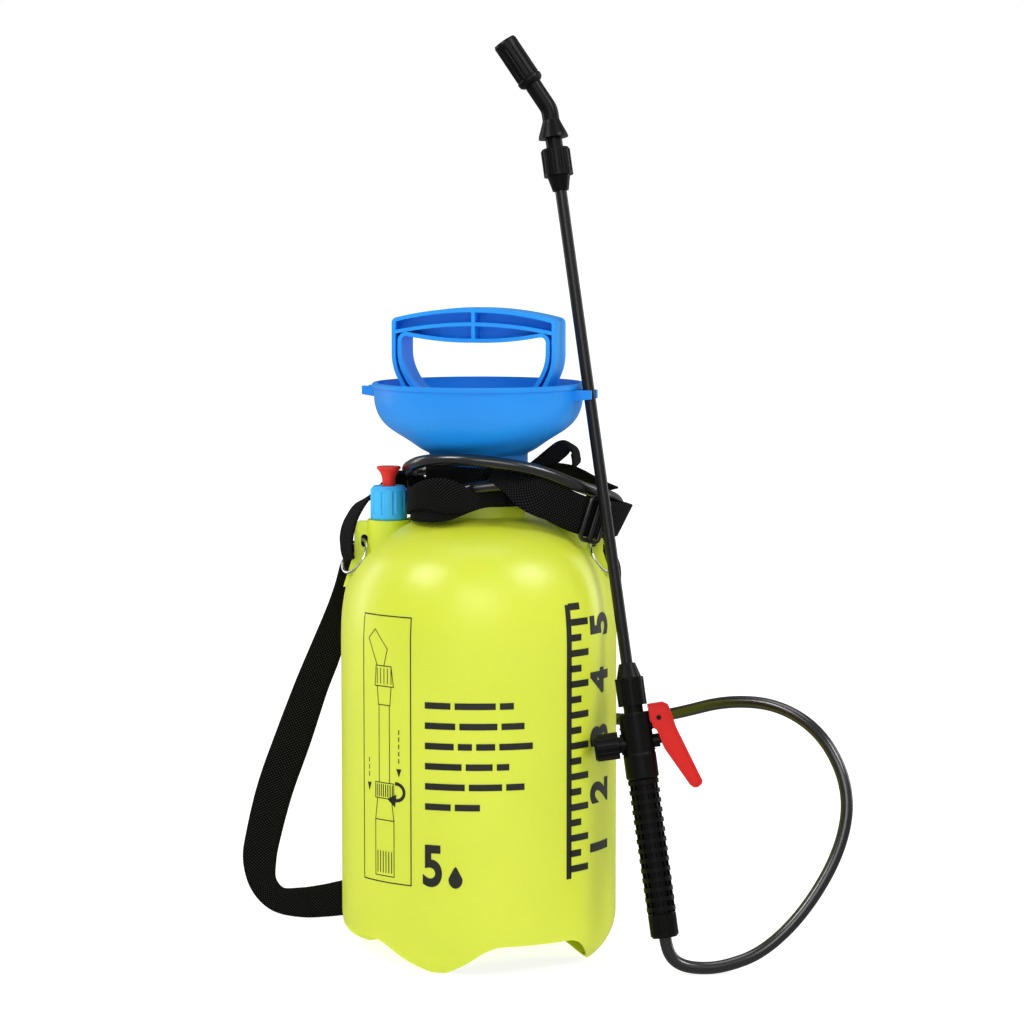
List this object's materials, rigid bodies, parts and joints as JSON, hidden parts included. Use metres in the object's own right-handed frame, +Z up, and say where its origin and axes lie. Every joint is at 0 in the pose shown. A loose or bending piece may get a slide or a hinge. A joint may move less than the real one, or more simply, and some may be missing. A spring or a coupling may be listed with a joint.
{
  "type": "pump sprayer",
  "caption": "Hand pump pressure sprayer: translucent round tank, filling funnel, bow pump handle, relief valve, hose, trigger gun, lance with angled nozzle, webbing strap.",
  "frame": {"origin": "centre of the tank on the floor plane that its four feet stand on", "axes": "+Z up along the tank and the pump rod, -Y the front, +X the side of the spray gun"},
  "size_m": [0.3985, 0.2057, 0.5967],
  "materials": {
    "tank": "translucent",
    "blue_plastic": "satin",
    "valve_plastic": "satin",
    "red_plastic": "gloss",
    "black_plastic": "satin",
    "rubber": "matt",
    "hose": "gloss",
    "webbing": "woven",
    "wire": "polished",
    "steel": "drawn",
    "white_plastic": "satin"
  },
  "bodies": {
    "tank": {"tank": "tank", "funnel": "blue_plastic", "outlet_elbow": "black_plastic", "dip_tube": "white_plastic", "dip_strainer": "white_plastic", "hose": "hose", "strap_left_tail": "webbing", "strap_neck": "webbing", "strap_collar": "webbing", "strap_front": "webbing", "strap_adjuster": "black_plastic", "strap_right_end": "webbing", "strap_upright": "webbing", "strap_side": "webbing", "strap_back": "webbing", "strap_rise": "webbing"},
    "outlet_nut": {"outlet_nut": "black_plastic"},
    "gasket": {"neck_gasket": "rubber"},
    "pump": {"pump_cap": "blue_plastic", "pump_barrel": "white_plastic"},
    "foot_valve": {"foot_valve": "rubber"},
    "bush": {"guide_bush": "black_plastic"},
    "rod": {"pump_rod": "white_plastic", "piston": "black_plastic", "piston_seal": "rubber", "handle": "blue_plastic"},
    "relief_body": {"relief_body": "valve_plastic", "relief_spring": "steel"},
    "relief_pull": {"relief_pull": "red_plastic", "relief_seal": "rubber"},
    "ring_left": {"strap_ring_left": "wire"},
    "ring_right": {"strap_ring_right": "wire"},
    "gun": {"gun_grip": "black_plastic", "gun_body": "black_plastic", "gun_filter": "white_plastic", "trigger_pin": "steel", "valve_spring": "steel"},
    "gun_hose_nut": {"gun_hose_nut": "black_plastic"},
    "trigger": {"trigger": "red_plastic"},
    "valve": {"valve_stem": "black_plastic", "valve_seal": "rubber"},
    "valve_cap": {"valve_cap": "black_plastic"},
    "lower_nut": {"lance_lower_nut": "black_plastic"},
    "lance": {"lance_tube": "black_plastic", "lance_lower_seal": "rubber"},
    "upper_nut": {"lance_upper_nut": "black_plastic"},
    "elbow": {"nozzle_elbow": "black_plastic", "nozzle_core": "white_plastic", "lance_upper_seal": "rubber"},
    "nozzle_cap": {"nozzle_cap": "black_plastic"}
  },
  "joints": [
    {"name": "pump_lift", "type": "slide", "parent": "tank", "child": "gasket", "axis": [0, 0, 1], "range_m": [0, 0.04]},
    {"name": "pump_turn", "type": "hinge", "parent": "gasket", "child": "pump", "pos_m": [0, 0, 0.33], "axis": [0, 0, 1], "continuous": true},
    {"name": "foot_valve_lift", "type": "slide", "parent": "pump", "child": "foot_valve", "axis": [0, 0, -1], "range_m": [0, 0.0012], "stiffness_N_per_m": 60, "springref_m": -0.001},
    {"name": "handle_turn", "type": "hinge", "parent": "pump", "child": "bush", "pos_m": [0, 0, 0.34], "axis": [0, 0, 1], "continuous": true},
    {"name": "pump_stroke", "type": "slide", "parent": "bush", "child": "rod", "axis": [0, 0, 1], "range_m": [0, 0.04]},
    {"name": "relief_turn", "type": "hinge", "parent": "tank", "child": "relief_body", "pos_m": [-0.0585, 0, 0.28], "axis": [0, 0, 1], "continuous": true},
    {"name": "relief_pull", "type": "slide", "parent": "relief_body", "child": "relief_pull", "axis": [0, 0, 1], "range_m": [0, 0.0018], "stiffness_N_per_m": 400, "springref_m": -0.002, "deforming": ["relief_spring"]},
    {"name": "outlet_nut_turn", "type": "hinge", "parent": "tank", "child": "outlet_nut", "pos_m": [0, 0.0583, 0.298], "axis": [-1, 0, 0], "continuous": true},
    {"name": "ring_left_turn", "type": "hinge", "parent": "tank", "child": "ring_left", "pos_m": [-0.0811, 0, 0.25998], "axis": [-0.733, -0.4791, 0.4828], "continuous": true},
    {"name": "ring_right_turn", "type": "hinge", "parent": "tank", "child": "ring_right", "pos_m": [0.0811, 0, 0.25998], "axis": [-0.733, 0.4791, -0.4828], "continuous": true},
    {"name": "gun_unclip", "type": "slide", "parent": "tank", "child": "gun", "axis": [0.9317, -0.3633, 0], "range_m": [0, 0.08], "deforming": ["hose"]},
    {"name": "gun_nut_turn", "type": "hinge", "parent": "gun", "child": "gun_hose_nut", "pos_m": [0.11722, -0.07704, 0.03204], "axis": [-0.1353, 0.1451, 0.9801], "continuous": true},
    {"name": "trigger_press", "type": "hinge", "parent": "gun", "child": "trigger", "pos_m": [0.11457, -0.05805, 0.16242], "axis": [0.0198, 0.9894, -0.1437], "range_deg": [0, 17], "stiffness_Nm_per_rad": 0.05, "springref_deg": -17.19, "deforming": ["valve_spring"]},
    {"name": "valve_slide", "type": "slide", "parent": "gun", "child": "valve", "axis": [-0.9906, 0, -0.1367], "range_m": [0, 0.0043], "deforming": ["valve_spring"]},
    {"name": "valve_cap_turn", "type": "hinge", "parent": "gun", "child": "valve_cap", "pos_m": [0.08162, -0.06011, 0.14369], "axis": [0.9906, 0, 0.1367], "continuous": true},
    {"name": "lower_nut_turn", "type": "hinge", "parent": "gun", "child": "lower_nut", "pos_m": [0.09693, -0.05528, 0.17906], "axis": [-0.1353, 0.1451, 0.9801], "continuous": true},
    {"name": "lance_swivel", "type": "hinge", "parent": "gun", "child": "lance", "pos_m": [0.09666, -0.05499, 0.18102], "axis": [-0.1353, 0.1451, 0.9801], "continuous": true},
    {"name": "upper_nut_turn", "type": "hinge", "parent": "lance", "child": "upper_nut", "pos_m": [0.05067, -0.00567, 0.51427], "axis": [-0.1353, 0.1451, 0.9801], "continuous": true},
    {"name": "elbow_swivel", "type": "hinge", "parent": "lance", "child": "elbow", "pos_m": [0.04932, -0.00422, 0.52407], "axis": [-0.1353, 0.1451, 0.9801], "continuous": true},
    {"name": "nozzle_turn", "type": "hinge", "parent": "elbow", "child": "nozzle_cap", "pos_m": [0.04587, -0.00052, 0.54906], "axis": [-0.555, 0.08, 0.828], "continuous": true}
  ],
  "couplings": [
    {"joint": "valve_slide", "follows": "trigger_press", "m_per_rad": 0.0142}
  ]
}
